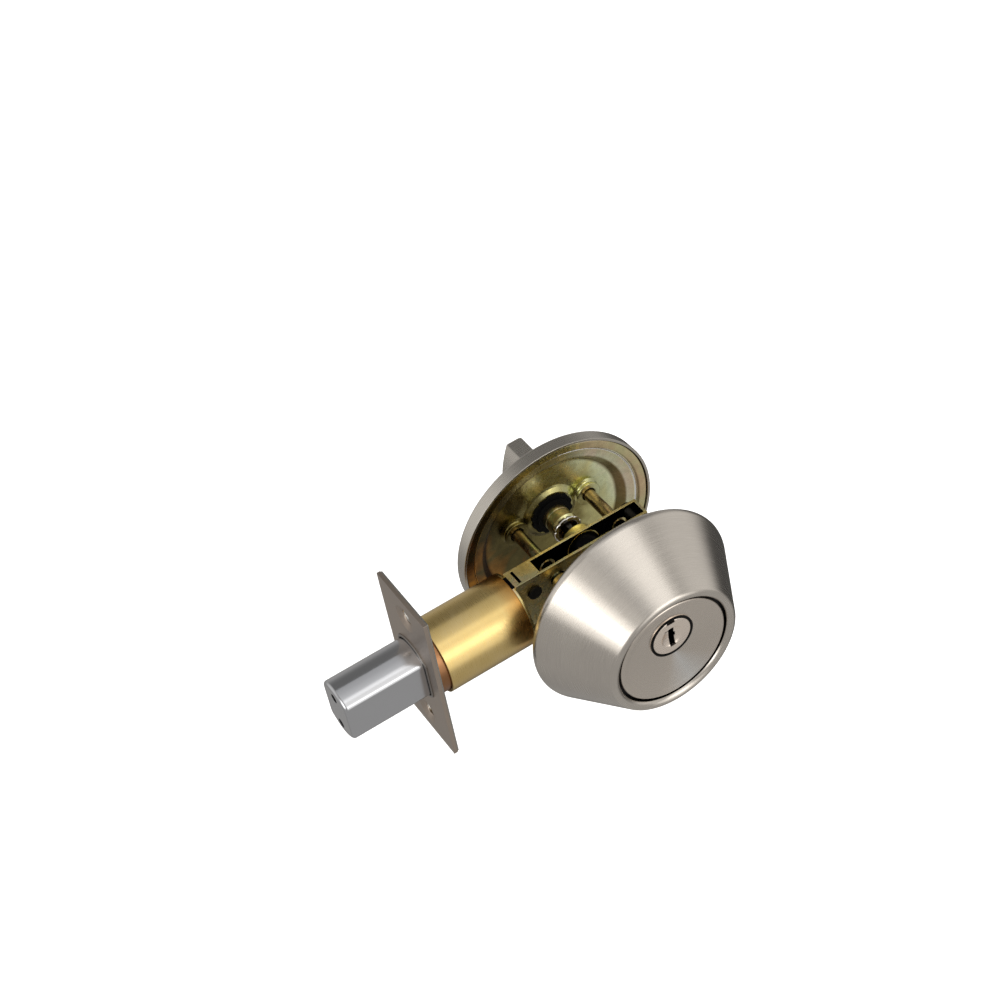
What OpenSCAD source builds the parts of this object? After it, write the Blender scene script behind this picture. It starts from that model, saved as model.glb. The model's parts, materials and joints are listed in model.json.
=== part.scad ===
// Deadbolt door lock: outside cylinder trim, bolt and case, inside thumbturn trim.
// Origin: where the trims' axis crosses the bolt tube's axis.
// -X: bolt throw, -Y: key side, +Y: thumbturn side, +Z: up.

/* [Door] */
// Thickness of the door between the two trims
door_t = 35; // [33:1:45]
// How far the door's middle lies from the bolt's axis, towards the key side
door_shift = 1; // [0:0.5:2]
// Distance from the faceplate's front to the trims' axis
backset = 60; // [60:5:70]

/* [Bolt] */
// Travel of the bolt
throw = 25.4; // [20:0.2:25.4]
// How far the bolt stands out when it is drawn back
bolt_proud = 0.5; // [0.2:0.1:1]
// Radius of the bolt bar
bolt_r = 9.2; // [8.8:0.1:9.4]
// Width of the bolt bar across its flats
bolt_w = 13.6; // [12:0.2:14]
// Height of the faceplate
face_h = 57.2; // [54:0.2:60]
// Width of the faceplate
face_w = 25.4; // [24:0.2:27]
// Thickness of the faceplate
face_t = 1.2; // [1.1:0.1:2.4]
// Distance between the faceplate's screw holes
face_screw_span = 41.3; // [38:0.1:44]
// Radius of the faceplate's screw holes
face_hole_r = 2.3; // [2:0.1:2.6]
// Outer radius of the bolt tube
tube_r = 11.5; // [11.2:0.1:11.8]

/* [Case] */
// Outside thickness of the case, across both plates
case_t = 6.6; // [6.4:0.1:7]
// Height of the case plates
case_h = 24.2; // [24:0.2:26]
// Distance from the trims' axis to the case's far end
case_end = 19.2; // [19:0.2:22]
// Height of the cam's axis above the bolt's axis
hub_z = 6; // [5.5:0.5:6.5]
// Radius of the cam's hub
hub_r = 5.2; // [5:0.1:5.4]

/* [Trims] */
// Radius of the rose and of the collar's rim
trim_r = 33; // [32.5:0.5:34]
// Depth of the collar from the door to its front rim
collar_d = 23.5; // [23:0.5:25]
// Height of the rose's rim
rose_h = 4.8; // [4.6:0.1:5.4]
// Distance between the two mounting screws
screw_span = 25.4; // [25:0.2:26]
// Radius of a mounting screw
screw_r = 1.9; // [1.8:0.05:2]
// Length of a mounting screw under its head
screw_len = 45; // [44:1:46]

/* [Cylinder] */
// Distance between two pin stacks
pin_pitch = 3.9; // [3.8:0.05:3.95]
// Radius of the key plug
plug_r = 6.35; // [6.2:0.05:6.4]
// Radius of a tumbler pin
pin_r = 1.42; // [1.4:0.01:1.45]

/* [Thumbturn] */
// Length of the thumbturn
turn_len = 34; // [30:1:36]
// Thickness of the thumbturn at its middle
turn_t = 12.4; // [10:0.2:13]
// Width of the thumbturn's flat ends
turn_end = 5; // [3:0.5:6]
// Radius of the spindle barrel
barrel_r = 4.2; // [4:0.1:4.4]

/* [Hidden] */
$fn = 96;
cut = 1;               // how far a cutting shape runs past a face
fine = 32;             // facets of small round pieces
pin_count = 5;
arc_steps = 8;         // points along a rounded edge

// Radial clearances
run_gap = 0.06;        // running fit
free_gap = 0.3;        // pieces that pass each other

// Places along Y
y_out = -door_t / 2 - door_shift;
y_in = door_t / 2 - door_shift;
y_front = y_out - collar_d;
y_rose = y_in + rose_h;

// Collar
collar_wall = 1.4;
shoulder_r = 2.2;      // rounding at the door end
nose_r = 1.6;          // rounding at the front rim
shoulder_a = 60;       // angle at which the shoulder meets the door
cone_a = 29.9;         // angle of the cone's normal
recess_r = 18.4;       // hole in which the face disc lies
shelf_r = 17;          // hole in the shelf behind the disc
shelf_t = 1.2;
recess_d = 2.4;        // depth from the front rim to the shelf
shoulder_c = trim_r - shoulder_r;
shoulder_y = y_out - shoulder_r * sin(shoulder_a);
nose_c = recess_r + nose_r;
nose_y = y_front + nose_r;
rim_in = trim_r - 2.5; // inner radius of the collar's door-side rim
inner_y = shoulder_y - shoulder_r;
y_shelf = y_front + recess_d;
shelf_in = trim_r - 11.4;
liner_r = rim_in - 0.1;
liner_t = 1.2;
liner_in = trim_r - 6.5; // hole in the liner's flange, just inside a 54 mm cross bore
liner_y = y_out - 0.4;

// Face disc
disc_gap = 0.5;
disc_t = 1.4;
disc_dish = 0.4;       // depth of the disc's dish
disc_rim = 4.5;        // width of the disc's raised edge
disc_edge = 0.4;       // bevel on that edge
disc_r = recess_r - disc_gap;
plug_lip = 0.65;       // width of the ring around the key plug

// Cylinder
plug_bore = plug_r + run_gap;
housing_r = 8.4;
y_plug = y_front + 0.8;
y_housing_back = y_out + 1.1;
y_plug_back = y_housing_back + 0.4;
keyway_end = y_plug_back - 3;
bible_w = 9;
bible_z = -13.4;       // bottom of the pin chambers
cover_t = 0.8;
cover_w = 4.5;
cover_gap = 1;         // between the cover's ends and the housing's
chamber_r = pin_r + 0.08;
first_pin_y = y_front + 4.8;
key_w = 1.8;
key_h = 8;
keyway_drop = 0.5;     // how far the keyway's middle lies below the plug's axis
ward_w = 0.7;
ward_h = 2;
dish_r = 3.4;
dish_d = 0.5;
dish_slope = 1.2;      // how much narrower the dish's floor is
notch_r = 0.6;
notch_d = 2;
shear_r = plug_r - 0.2;
shear_out = plug_bore + 0.1;
driver_len = 5;
cut_top = -1.6;        // highest key cut, measured from the plug's axis
cut_step = 0.5;        // depth between two key cuts
spring_wall = 0.4;
post_r = 2.9;
post_end = -case_t / 2 - 1.2;
post_bore = screw_r + 0.07;
ear_y = y_out - 5.5;
ear_t = 3;
ear_h = 7;
retainer_r = 7.6;
retainer_t = 1.6;
retainer_hole = 3.4;

// Mounting screws and their holes
screw_x = screw_span / 2;
head_r = 3.9;
head_t = 1.9;
head_rim = 0.8;        // straight part of the head's height
head_top = 2.3;        // radius of the head's flat top
slot_w = 0.9;
slot_len = 5;
slot_d = 1;
plate_hole = 2.6;
rose_hole = 3;
rose_hole_rim = 4.25;
rose_hole_d = 0.5;

// Rose and backing plate
rose_wall = 0.8;
rose_edge = 1;         // rounding between the rim and the flat ring
rose_draft = 0.2;
rose_gap = 0.4;        // around the spindle barrel
plateau_h = 1.3;
plateau_r = 24.3;
plateau_foot = 26.3;
y_plateau = y_rose + plateau_h;
plate_t = 1;
ring_y = y_in + 0.5;
ring_in = 29.4;
mid_y = y_in + 1.6;
mid_slope = 0.2;       // how far the plate dips between the ring and the pan
ring_slope = 0.4;
pan_r = 23.2;
pan_slope = 2.2;         // how far the wall of the pan leans outwards
pan_y = y_in + 4.1;
plate_r = trim_r - 1.1;
hole_lip_r = 7.6;
hole_lip_h = 1.2;
bushing_r = 6.5;
flange_w = 0.5;
flange_t = 0.6;
bushing_y = pan_y - 1.8;
boss_r = 3.3;
boss_flange = 4;
boss_y = y_in + 1.9;
boss_bore = screw_r + 0.35;

// Spindle and thumbturn
barrel_end = 10.8;
barrel_hollow = 3.4;
hollow_d = 2.6;
ring_len = 1.8;
ring_lip = 0.3;
ring_w = 0.45;
y_neck = y_plateau + free_gap;
neck_len = 2;
neck_r = 5.6;
turn_d = 12.2;         // height of the thumbturn over its neck
turn_sag = (turn_t - turn_end) / 2;
turn_arc = (pow(turn_len / 2, 2) + pow(turn_sag, 2)) / (2 * turn_sag);
turn_socket = 6;
tail_w = 5;
tail_t = 1.4;
tail_front = y_plug_back + 0.4;
tail_back = barrel_end + 5;
tail_gap = 0.1;        // room around the tailpiece in its slots
clip_t = 0.8;
clip_r = 5.6;
clip_slot = 1.2;       // half width of the clip's opening
clip_y = bushing_y - free_gap - clip_t;
head_y = y_plateau + 0.05; // underside of a seated screw head

// Case
plate_w = 0.8;
case_in = case_t / 2 - plate_w;
case_start = -26.6;
hub_hole = hub_r + free_gap;
hub_y = case_t / 2 + 0.9;
hub_nose = 3;          // how far the cam's hub stands out of the inner plate
bridge_x = -24;
bridge_len = 6;
tab_len = 1.7;
rivet_r = 1.3;
rivet_head = 2.2;
rivet_head_t = 0.6;
rivets = [[-21, 6], [-21, -9.7], [16, 9.7]];
leaf_y = -2.1;         // cam spring: sides, thickness and where it bends and ends
leaf_w = 1.8;
leaf_t = 0.5;
leaf_bend = [10.9, -1];
leaf_tip = [8.2, 0.8];

// Crank and drawbar
crank_r = throw / sqrt(2);
crank_w = 5;
arm_y = [0.3, 2.2];
pin_drive_r = 1.6;
pin_shank = 1.2;       // the drive pin where it is riveted into the arm
draw_y = [-2.1, 0];
slot_half = pin_drive_r + 0.9;
yoke_arm = 2.4;
draw_z = [-8, -2];
yoke_z = -12.4;
pin_x = -throw / 2;
yoke_x = [pin_x - slot_half - yoke_arm, pin_x + slot_half + yoke_arm];
slot_top = -3.5;
draw_root = -57;       // end of the drawbar inside the bolt bar
draw_rivet = [-55, -5];
draw_rivet_r = 1.5;
draw_rivet_sunk = 0.3;

// Bolt
face_x = -backset;
bolt_tip = face_x - throw - bolt_proud;
bolt_back = -52.4;
bolt_edge = 1.2;
roller_r = 1.45;
roller_len = 20;
roller_z = 5.6;
roller_sunk = 1.4;
sink_r = 4.4;
sink_d = 0.8;
backing_rim = 0.2;     // how far the backing plate stays inside the faceplate
backing_hole = 0.6;    // how much larger its screw holes are
backing_t = 0.5;
lip_w = 0.8;
lip_t = 0.5;
sleeve_r = 10.6;
sleeve_end = -46;
tube_wall = 0.7;
tube_start = -55;
tube_end = -27.4;
spigot_len = 4.5;
spigot_gap = 0.4;      // around the bolt bar

// Points of an arc around [cx, cy], from angle a0 to a1
function arc(cx, cy, r, a0, a1, n = arc_steps) =
    [for (i = [0:n]) let (a = a0 + (a1 - a0) * i / n) [cx + r * cos(a), cy + r * sin(a)]];

// Extrudes an outline given in Y and Z along X
module along_x(x0, x1) {
    translate([x0, 0, 0]) rotate([90, 0, 90]) linear_extrude(x1 - x0) children();
}

// Extrudes an outline given in X and Z along Y
module along_y(y0, y1) {
    translate([0, y1, 0]) rotate([90, 0, 0]) linear_extrude(y1 - y0) children();
}

// Turns a profile of [radius, y] points around the Y axis
module spin_y() {
    rotate([-90, 0, 0]) rotate_extrude() children();
}

// Round bar along Y at [x, z]
module bar_y(x, z, r, y0, y1) {
    translate([x, y0, z]) rotate([-90, 0, 0]) cylinder(r = r, h = y1 - y0);
}

// Round bar along X at height z
module bar_x(z, r, x0, x1) {
    translate([x0, 0, z]) rotate([0, 90, 0]) cylinder(r = r, h = x1 - x0);
}

// Box between two corners
module block(a, b) {
    translate(a) cube(b - a);
}

module bolt_outline(grow = 0) {
    intersection() {
        circle(r = bolt_r + grow);
        square([bolt_w + 2 * grow, 3 * bolt_r], center = true);
    }
}

// Places a piece at both mounting screws
module at_screws() {
    for (x = [-screw_x, screw_x]) translate([x, 0, hub_z]) children();
}

// ---- Outside trim ----

module collar() {
    color([0.75, 0.73, 0.7]) spin_y() polygon(concat(
        arc(shoulder_c, shoulder_y, shoulder_r, shoulder_a, -cone_a),
        arc(nose_c, nose_y, nose_r, -cone_a, -180, 2 * arc_steps),
        [[recess_r, y_shelf], [shelf_r, y_shelf], [shelf_r, y_shelf + shelf_t],
            [shelf_in, y_shelf + shelf_t], [rim_in, inner_y], [rim_in, y_out]]));
}

module collar_liner() {
    color([0.6, 0.58, 0.5]) spin_y() polygon([
        [liner_in, liner_y], [liner_r, liner_y], [liner_r, inner_y], [liner_r - liner_t, inner_y],
        [liner_r - liner_t, liner_y - liner_t], [liner_in, liner_y - liner_t]]);
}

module face_disc() {
    y_disc = y_shelf - disc_t;
    color([0.74, 0.71, 0.67]) difference() {
        spin_y() polygon([[0, y_disc + disc_dish], [disc_r - disc_rim, y_disc + disc_dish],
            [disc_r - disc_edge, y_disc], [disc_r, y_disc + disc_edge], [disc_r, y_shelf], [0, y_shelf]]);
        bar_y(0, hub_z, plug_bore + plug_lip + run_gap, y_front, y_shelf + cut);
    }
}

module cylinder_housing() {
    color([0.78, 0.68, 0.42]) difference() {
        union() {
            bar_y(0, hub_z, housing_r, y_shelf, y_housing_back);
            bar_y(0, hub_z, plug_bore + plug_lip, y_plug, y_shelf + cut);
            block([-bible_w / 2, y_shelf, bible_z], [bible_w / 2, y_housing_back, hub_z]);
            block([-screw_x, ear_y, hub_z - ear_h / 2], [screw_x, ear_y + ear_t, hub_z + ear_h / 2]);
            at_screws() bar_y(0, 0, post_r, ear_y, post_end);
        }
        bar_y(0, hub_z, plug_bore, y_front - cut, y_housing_back + cut);
        for (i = [1:pin_count]) pin_bar(i, chamber_r, bible_z - cut, hub_z);
        at_screws() bar_y(0, 0, post_bore, ear_y - cut, post_end + cut);
    }
}

// Upright round bar at pin stack i
module pin_bar(i, r, z0, z1) {
    translate([0, first_pin_y + (i - 1) * pin_pitch, z0]) cylinder(r = r, h = z1 - z0, $fn = fine);
}

module pin_cover() {
    color([0.8, 0.66, 0.35]) block([-cover_w / 2, y_shelf + cover_gap, bible_z - cover_t],
        [cover_w / 2, y_housing_back - cover_gap, bible_z]);
}

// Top of key pin i, where the key's cut holds it, measured from the plug's axis
function key_cut(i) = cut_top - cut_step * (i * 2 % 3);

module key_plug() {
    color([0.72, 0.7, 0.66]) difference() {
        bar_y(0, hub_z, plug_r, y_plug, y_plug_back);
        translate([0, 0, hub_z]) {
            block([-key_w / 2, y_front - cut, -keyway_drop - key_h / 2],
                [key_w / 2, keyway_end, -keyway_drop + key_h / 2]);
            block([0, y_front - cut, -ward_h / 2], [key_w / 2 + ward_w, keyway_end, ward_h / 2]);
            translate([0, y_plug, 0]) rotate([-90, 0, 0])
                cylinder(r1 = dish_r, r2 = dish_r - dish_slope, h = dish_d);
            bar_y(0, plug_r, notch_r, y_front - cut, y_plug + notch_d);
            bar_y(0, 0, retainer_hole, keyway_end, y_plug_back + cut);
        }
        for (i = [1:pin_count]) pin_bar(i, chamber_r, hub_z - plug_r - cut, hub_z);
    }
}

module key_pin(i) {
    color([0.82, 0.7, 0.4]) pin_bar(i, pin_r, hub_z - shear_r, hub_z + key_cut(i));
}

module driver_pin(i) {
    color([0.7, 0.7, 0.72]) pin_bar(i, pin_r, hub_z - shear_out - driver_len, hub_z - shear_out);
}

module pin_spring(i) {
    color([0.65, 0.65, 0.68]) difference() {
        pin_bar(i, pin_r, bible_z, hub_z - shear_out - driver_len);
        pin_bar(i, pin_r - spring_wall, bible_z - cut, hub_z);
    }
}

module plug_retainer() {
    color([0.6, 0.6, 0.62]) difference() {
        bar_y(0, hub_z, retainer_r, y_plug_back, y_plug_back + retainer_t);
        bar_y(0, hub_z, retainer_hole, y_plug_back - cut, y_plug_back + retainer_t + cut);
    }
}

module tailpiece() {
    color([0.35, 0.33, 0.3]) translate([0, 0, hub_z])
        block([-tail_t / 2, tail_front, -tail_w / 2], [tail_t / 2, tail_back, tail_w / 2]);
}

// Room for the tailpiece from y0 to y1
module tail_slot(y0, y1) {
    translate([0, 0, hub_z])
        block([-tail_t / 2 - tail_gap, y0, -tail_w / 2 - tail_gap],
            [tail_t / 2 + tail_gap, y1, tail_w / 2 + tail_gap]);
}

// ---- Bolt and case ----

module face_blank(x0, x1, grow) {
    block([x0, -face_w / 2 - grow, -face_h / 2 - grow], [x1, face_w / 2 + grow, face_h / 2 + grow]);
}

module faceplate() {
    color([0.62, 0.57, 0.52]) difference() {
        face_blank(face_x, face_x + face_t, 0);
        along_x(face_x - cut, face_x + face_t + cut) bolt_outline(free_gap + lip_w);
        for (z = [-face_screw_span / 2, face_screw_span / 2]) {
            bar_x(z, face_hole_r, face_x - cut, face_x + face_t + cut);
            translate([face_x, 0, z]) rotate([0, 90, 0]) cylinder(r1 = sink_r, r2 = face_hole_r, h = sink_d);
        }
    }
}

module faceplate_backing() {
    color([0.5, 0.47, 0.42]) difference() {
        face_blank(face_x + face_t, face_x + face_t + backing_t, -backing_rim);
        along_x(face_x, face_x + face_t + backing_t + cut) bolt_outline(free_gap + lip_w);
        for (z = [-face_screw_span / 2, face_screw_span / 2])
            bar_x(z, face_hole_r + backing_hole, face_x, face_x + face_t + backing_t + cut);
    }
}

module guide_sleeve() {
    neck_end = face_x + face_t + backing_t;
    color([0.72, 0.45, 0.28]) difference() {
        union() {
            along_x(face_x - lip_t, neck_end) bolt_outline(free_gap + lip_w);
            bar_x(0, sleeve_r, neck_end, sleeve_end);
        }
        along_x(face_x - cut, sleeve_end + cut) bolt_outline(free_gap);
    }
}

module bolt_tube() {
    color([0.78, 0.62, 0.34]) difference() {
        bar_x(0, tube_r, tube_start, tube_end);
        bar_x(0, tube_r - tube_wall, tube_start - cut, tube_end + cut);
    }
}

module tube_spigot() {
    spigot_r = tube_r - tube_wall;
    color([0.7, 0.6, 0.3]) difference() {
        union() {
            bar_x(0, spigot_r, tube_end - spigot_len, tube_end);
            bar_x(0, tube_r, tube_end, case_start);
            for (s = [-1, 1])
                block([case_start, -case_in, min(s * spigot_r, s * case_h / 2)],
                    [case_start + tab_len, case_in, max(s * spigot_r, s * case_h / 2)]);
        }
        along_x(tube_end - spigot_len - cut, case_start + cut) bolt_outline(spigot_gap);
    }
}

// One case plate lying between y0 and y1
module case_plate(y0, y1) {
    difference() {
        block([case_start, y0, -case_h / 2], [case_end, y1, case_h / 2]);
        bar_y(0, hub_z, hub_hole, y0 - cut, y1 + cut);
        at_screws() bar_y(0, 0, plate_hole, y0 - cut, y1 + cut);
        for (p = rivets) bar_y(p[0], p[1], rivet_r, y0 - cut, y1 + cut);
    }
}

module case_inner_plate() {
    color([0.62, 0.56, 0.26]) union() {
        case_plate(case_in, case_t / 2);
        block([case_end - plate_w, -case_in, -case_h / 2], [case_end, case_in, case_h / 2]);
    }
}

module case_outer_plate() {
    color([0.62, 0.56, 0.26]) union() {
        case_plate(-case_t / 2, -case_in);
        for (z = [-case_h / 2, case_h / 2 - plate_w])
            block([bridge_x, -case_in, z], [bridge_x + bridge_len, case_in, z + plate_w]);
    }
}

module case_rivets() {
    color([0.6, 0.58, 0.4]) for (p = rivets) {
        bar_y(p[0], p[1], rivet_r, -case_t / 2 - rivet_head_t, case_t / 2 + rivet_head_t);
        for (y = [-case_t / 2 - rivet_head_t, case_t / 2])
            bar_y(p[0], p[1], rivet_head, y, y + rivet_head_t);
    }
}

module crank_cam() {
    color([0.85, 0.68, 0.28]) difference() {
        union() {
            bar_y(0, hub_z, hub_r, -hub_y, case_t / 2 + hub_nose);
            translate([0, 0, hub_z]) rotate([0, 45, 0])
                block([-crank_w / 2, arm_y[0], -crank_r], [crank_w / 2, arm_y[1], 0]);
            bar_y(pin_x, hub_z + pin_x, crank_w / 2, arm_y[0], arm_y[1]);
        }
        tail_slot(-hub_y - cut, case_t / 2 + hub_nose + cut);
        bar_y(pin_x, hub_z + pin_x, pin_shank, arm_y[0] - cut, arm_y[1] + cut);
    }
}

module drive_pin() {
    color([0.7, 0.7, 0.72]) {
        bar_y(pin_x, hub_z + pin_x, pin_drive_r, draw_y[0], arm_y[0]);
        bar_y(pin_x, hub_z + pin_x, pin_shank, arm_y[0], arm_y[1]);
    }
}

module cam_spring() {
    root = case_end - plate_w;
    color([0.55, 0.55, 0.58]) along_y(leaf_y, leaf_y + leaf_w) polygon([
        [root, leaf_bend[1]], [root, leaf_bend[1] + leaf_t], [leaf_bend[0], leaf_bend[1] + leaf_t],
        leaf_tip + [leaf_t, leaf_t], leaf_tip, leaf_bend]);
}

module bolt_bar() {
    color([0.72, 0.73, 0.75]) difference() {
        intersection() {
            along_x(bolt_tip, bolt_back) bolt_outline();
            union() {
                translate([bolt_tip, 0, 0]) rotate([0, 90, 0])
                    cylinder(r1 = bolt_r - bolt_edge, r2 = bolt_r, h = bolt_edge);
                bar_x(0, bolt_r + cut, bolt_tip + bolt_edge, bolt_back + cut);
            }
        }
        for (z = [-roller_z, roller_z])
            bar_x(z, roller_r, bolt_tip - cut, bolt_tip + roller_sunk + roller_len);
        block([draw_root, draw_y[0], draw_z[0]], [bolt_back + cut, draw_y[1], draw_z[1]]);
        bar_y(draw_rivet[0], draw_rivet[1], draw_rivet_r, -bolt_r, bolt_r);
    }
}

module hardened_pins() {
    color([0.3, 0.3, 0.32]) for (z = [-roller_z, roller_z])
        bar_x(z, roller_r - run_gap, bolt_tip + roller_sunk, bolt_tip + roller_sunk + roller_len);
}

module drawbar() {
    color([0.6, 0.6, 0.62]) difference() {
        union() {
            block([draw_root, draw_y[0], draw_z[0]], [yoke_x[1], draw_y[1], draw_z[1]]);
            block([yoke_x[0], draw_y[0], yoke_z], [yoke_x[1], draw_y[1], draw_z[1]]);
        }
        block([pin_x - slot_half, draw_y[0] - cut, yoke_z - cut],
            [pin_x + slot_half, draw_y[1] + cut, slot_top]);
        bar_y(draw_rivet[0], draw_rivet[1], draw_rivet_r, draw_y[0] - cut, draw_y[1] + cut);
    }
}

module drawbar_rivet() {
    rivet_half = bolt_w / 2 - draw_rivet_sunk;
    color([0.7, 0.7, 0.72]) bar_y(draw_rivet[0], draw_rivet[1], draw_rivet_r, -rivet_half, rivet_half);
}

// ---- Inside trim ----

module rose() {
    color([0.72, 0.7, 0.67]) difference() {
        spin_y() polygon(concat(
            [[trim_r - rose_wall, y_in], [trim_r, y_in]],
            arc(trim_r - rose_edge, y_rose - rose_edge, rose_edge, 0, 90),
            [[plateau_foot, y_rose], [plateau_r, y_plateau], [0, y_plateau], [0, y_plateau - rose_wall],
                [plateau_r - rose_draft, y_plateau - rose_wall],
                [plateau_foot - rose_draft, y_rose - rose_wall],
                [trim_r - rose_wall - rose_draft, y_rose - rose_wall]]));
        bar_y(0, hub_z, barrel_r + rose_gap, y_in, y_plateau + cut);
        at_screws() {
            bar_y(0, 0, rose_hole, y_in, y_plateau + cut);
            translate([0, y_plateau - rose_hole_d, 0]) rotate([-90, 0, 0])
                cylinder(r1 = rose_hole, r2 = rose_hole_rim, h = rose_hole_d);
        }
    }
}

module backing_plate() {
    floor_back = pan_y + plate_t;
    color([0.48, 0.44, 0.24]) difference() {
        union() {
            spin_y() polygon([[plate_r, ring_y], [ring_in, ring_y], [ring_in - ring_slope, mid_y],
                [pan_r + pan_slope, mid_y + mid_slope], [pan_r, pan_y], [0, pan_y], [0, floor_back],
                [pan_r + plate_t, floor_back], [pan_r + pan_slope + plate_t, mid_y + mid_slope + plate_t],
                [ring_in + ring_slope, mid_y + plate_t], [ring_in + 2 * ring_slope, ring_y + plate_t],
                [plate_r, ring_y + plate_t]]);
            translate([0, pan_y - hole_lip_h, hub_z]) rotate([-90, 0, 0])
                cylinder(r1 = hole_lip_r, r2 = hole_lip_r + hole_lip_h, h = hole_lip_h);
            at_screws() {
                bar_y(0, 0, boss_r, boss_y, pan_y + plate_t / 2);
                bar_y(0, 0, boss_flange, boss_y, boss_y + flange_t);
            }
        }
        bar_y(0, hub_z, bushing_r, y_in, floor_back + cut);
        at_screws() bar_y(0, 0, boss_bore, y_in, floor_back + cut);
    }
}

module spindle_bushing() {
    color([0.08, 0.08, 0.08]) difference() {
        union() {
            bar_y(0, hub_z, bushing_r, bushing_y, pan_y + plate_t);
            bar_y(0, hub_z, bushing_r + flange_w, bushing_y, bushing_y + flange_t);
        }
        bar_y(0, hub_z, barrel_r + run_gap, y_in, y_plateau);
    }
}

module spindle_barrel() {
    color([0.55, 0.5, 0.3]) difference() {
        bar_y(0, hub_z, barrel_r, barrel_end, y_neck + turn_socket);
        bar_y(0, hub_z, barrel_hollow, barrel_end - cut, barrel_end + hollow_d);
        tail_slot(barrel_end, tail_back + tail_gap);
    }
}

module spindle_ring() {
    color([0.85, 0.85, 0.86]) difference() {
        bar_y(0, hub_z, barrel_r + ring_w, barrel_end - ring_lip, barrel_end + ring_len);
        bar_y(0, hub_z, barrel_r, barrel_end, barrel_end + ring_len + cut);
        bar_y(0, hub_z, barrel_hollow, barrel_end - cut, barrel_end + cut);
    }
}

module spindle_clip() {
    color([0.12, 0.12, 0.12]) difference() {
        bar_y(0, hub_z, clip_r, clip_y, clip_y + clip_t);
        bar_y(0, hub_z, barrel_r, clip_y - cut, clip_y + clip_t + cut);
        block([-clip_slot, clip_y - cut, hub_z - clip_r - cut], [clip_slot, clip_y + clip_t + cut, hub_z]);
    }
}

// Outline of the thumbturn: two arcs that meet in two flat ends
module turn_outline() {
    intersection() {
        translate([turn_arc - turn_t / 2, 0]) circle(r = turn_arc);
        translate([turn_t / 2 - turn_arc, 0]) circle(r = turn_arc);
        square([turn_t + cut, turn_len], center = true);
    }
}

module thumbturn() {
    color([0.74, 0.72, 0.7]) difference() {
        union() {
            bar_y(0, hub_z, neck_r, y_neck, y_neck + neck_len + cut);
            translate([0, 0, hub_z]) along_y(y_neck + neck_len, y_neck + neck_len + turn_d) turn_outline();
        }
        bar_y(0, hub_z, barrel_r, y_neck - cut, y_neck + turn_socket);
    }
}

// Mounting screw at x, driven home
module mounting_screw(x) {
    color([0.72, 0.7, 0.62]) difference() {
        union() {
            bar_y(x, hub_z, screw_r, head_y - screw_len, head_y + head_rim);
            bar_y(x, hub_z, head_r, head_y, head_y + head_rim);
            translate([x, head_y + head_rim, hub_z]) rotate([-90, 0, 0])
                cylinder(r1 = head_r, r2 = head_top, h = head_t - head_rim);
        }
        for (s = [[slot_w, slot_len], [slot_len, slot_w]])
            translate([x, head_y + head_t, hub_z]) cube([s[0], 2 * slot_d, s[1]], center = true);
    }
}

collar();
collar_liner();
face_disc();
cylinder_housing();
pin_cover();
key_plug();
plug_retainer();
for (i = [1:pin_count]) {
    key_pin(i);
    driver_pin(i);
    pin_spring(i);
}
tailpiece();
faceplate();
faceplate_backing();
guide_sleeve();
bolt_tube();
tube_spigot();
case_inner_plate();
case_outer_plate();
case_rivets();
crank_cam();
drive_pin();
cam_spring();
bolt_bar();
hardened_pins();
drawbar();
drawbar_rivet();
rose();
backing_plate();
spindle_bushing();
spindle_barrel();
spindle_ring();
spindle_clip();
thumbturn();
mounting_screw(-screw_x);  // screw_left
mounting_screw(screw_x);  // screw_right
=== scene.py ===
"""Looks of a deadbolt door lock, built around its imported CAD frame.

Sizes are in millimetres, except the studio's, which are in metres. The trims turn about the Y axis, and
the bolt slides along X.
"""
import json
import math

import bmesh
import bpy
from mathutils import Matrix, Vector


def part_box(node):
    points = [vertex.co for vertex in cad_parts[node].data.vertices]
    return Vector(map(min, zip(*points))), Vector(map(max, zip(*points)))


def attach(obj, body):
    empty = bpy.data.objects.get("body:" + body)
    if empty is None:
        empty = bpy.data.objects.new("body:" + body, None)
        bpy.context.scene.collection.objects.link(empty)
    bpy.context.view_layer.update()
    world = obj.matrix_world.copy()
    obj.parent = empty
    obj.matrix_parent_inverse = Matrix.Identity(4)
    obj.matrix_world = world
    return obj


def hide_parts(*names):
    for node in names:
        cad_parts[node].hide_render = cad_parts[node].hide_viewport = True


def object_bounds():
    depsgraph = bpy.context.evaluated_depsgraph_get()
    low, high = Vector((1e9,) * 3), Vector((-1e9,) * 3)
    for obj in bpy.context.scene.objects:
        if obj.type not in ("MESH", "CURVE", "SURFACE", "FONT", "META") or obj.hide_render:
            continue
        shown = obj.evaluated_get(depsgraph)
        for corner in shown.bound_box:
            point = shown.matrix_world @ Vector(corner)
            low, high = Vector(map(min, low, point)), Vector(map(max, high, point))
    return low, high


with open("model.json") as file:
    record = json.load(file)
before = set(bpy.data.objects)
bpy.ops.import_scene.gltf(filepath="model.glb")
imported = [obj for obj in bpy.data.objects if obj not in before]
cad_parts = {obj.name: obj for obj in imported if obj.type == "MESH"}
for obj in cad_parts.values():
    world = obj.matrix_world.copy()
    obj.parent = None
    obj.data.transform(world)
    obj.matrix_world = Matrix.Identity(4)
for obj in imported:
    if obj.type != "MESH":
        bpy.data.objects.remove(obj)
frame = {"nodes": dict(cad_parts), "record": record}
cad_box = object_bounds()

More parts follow.
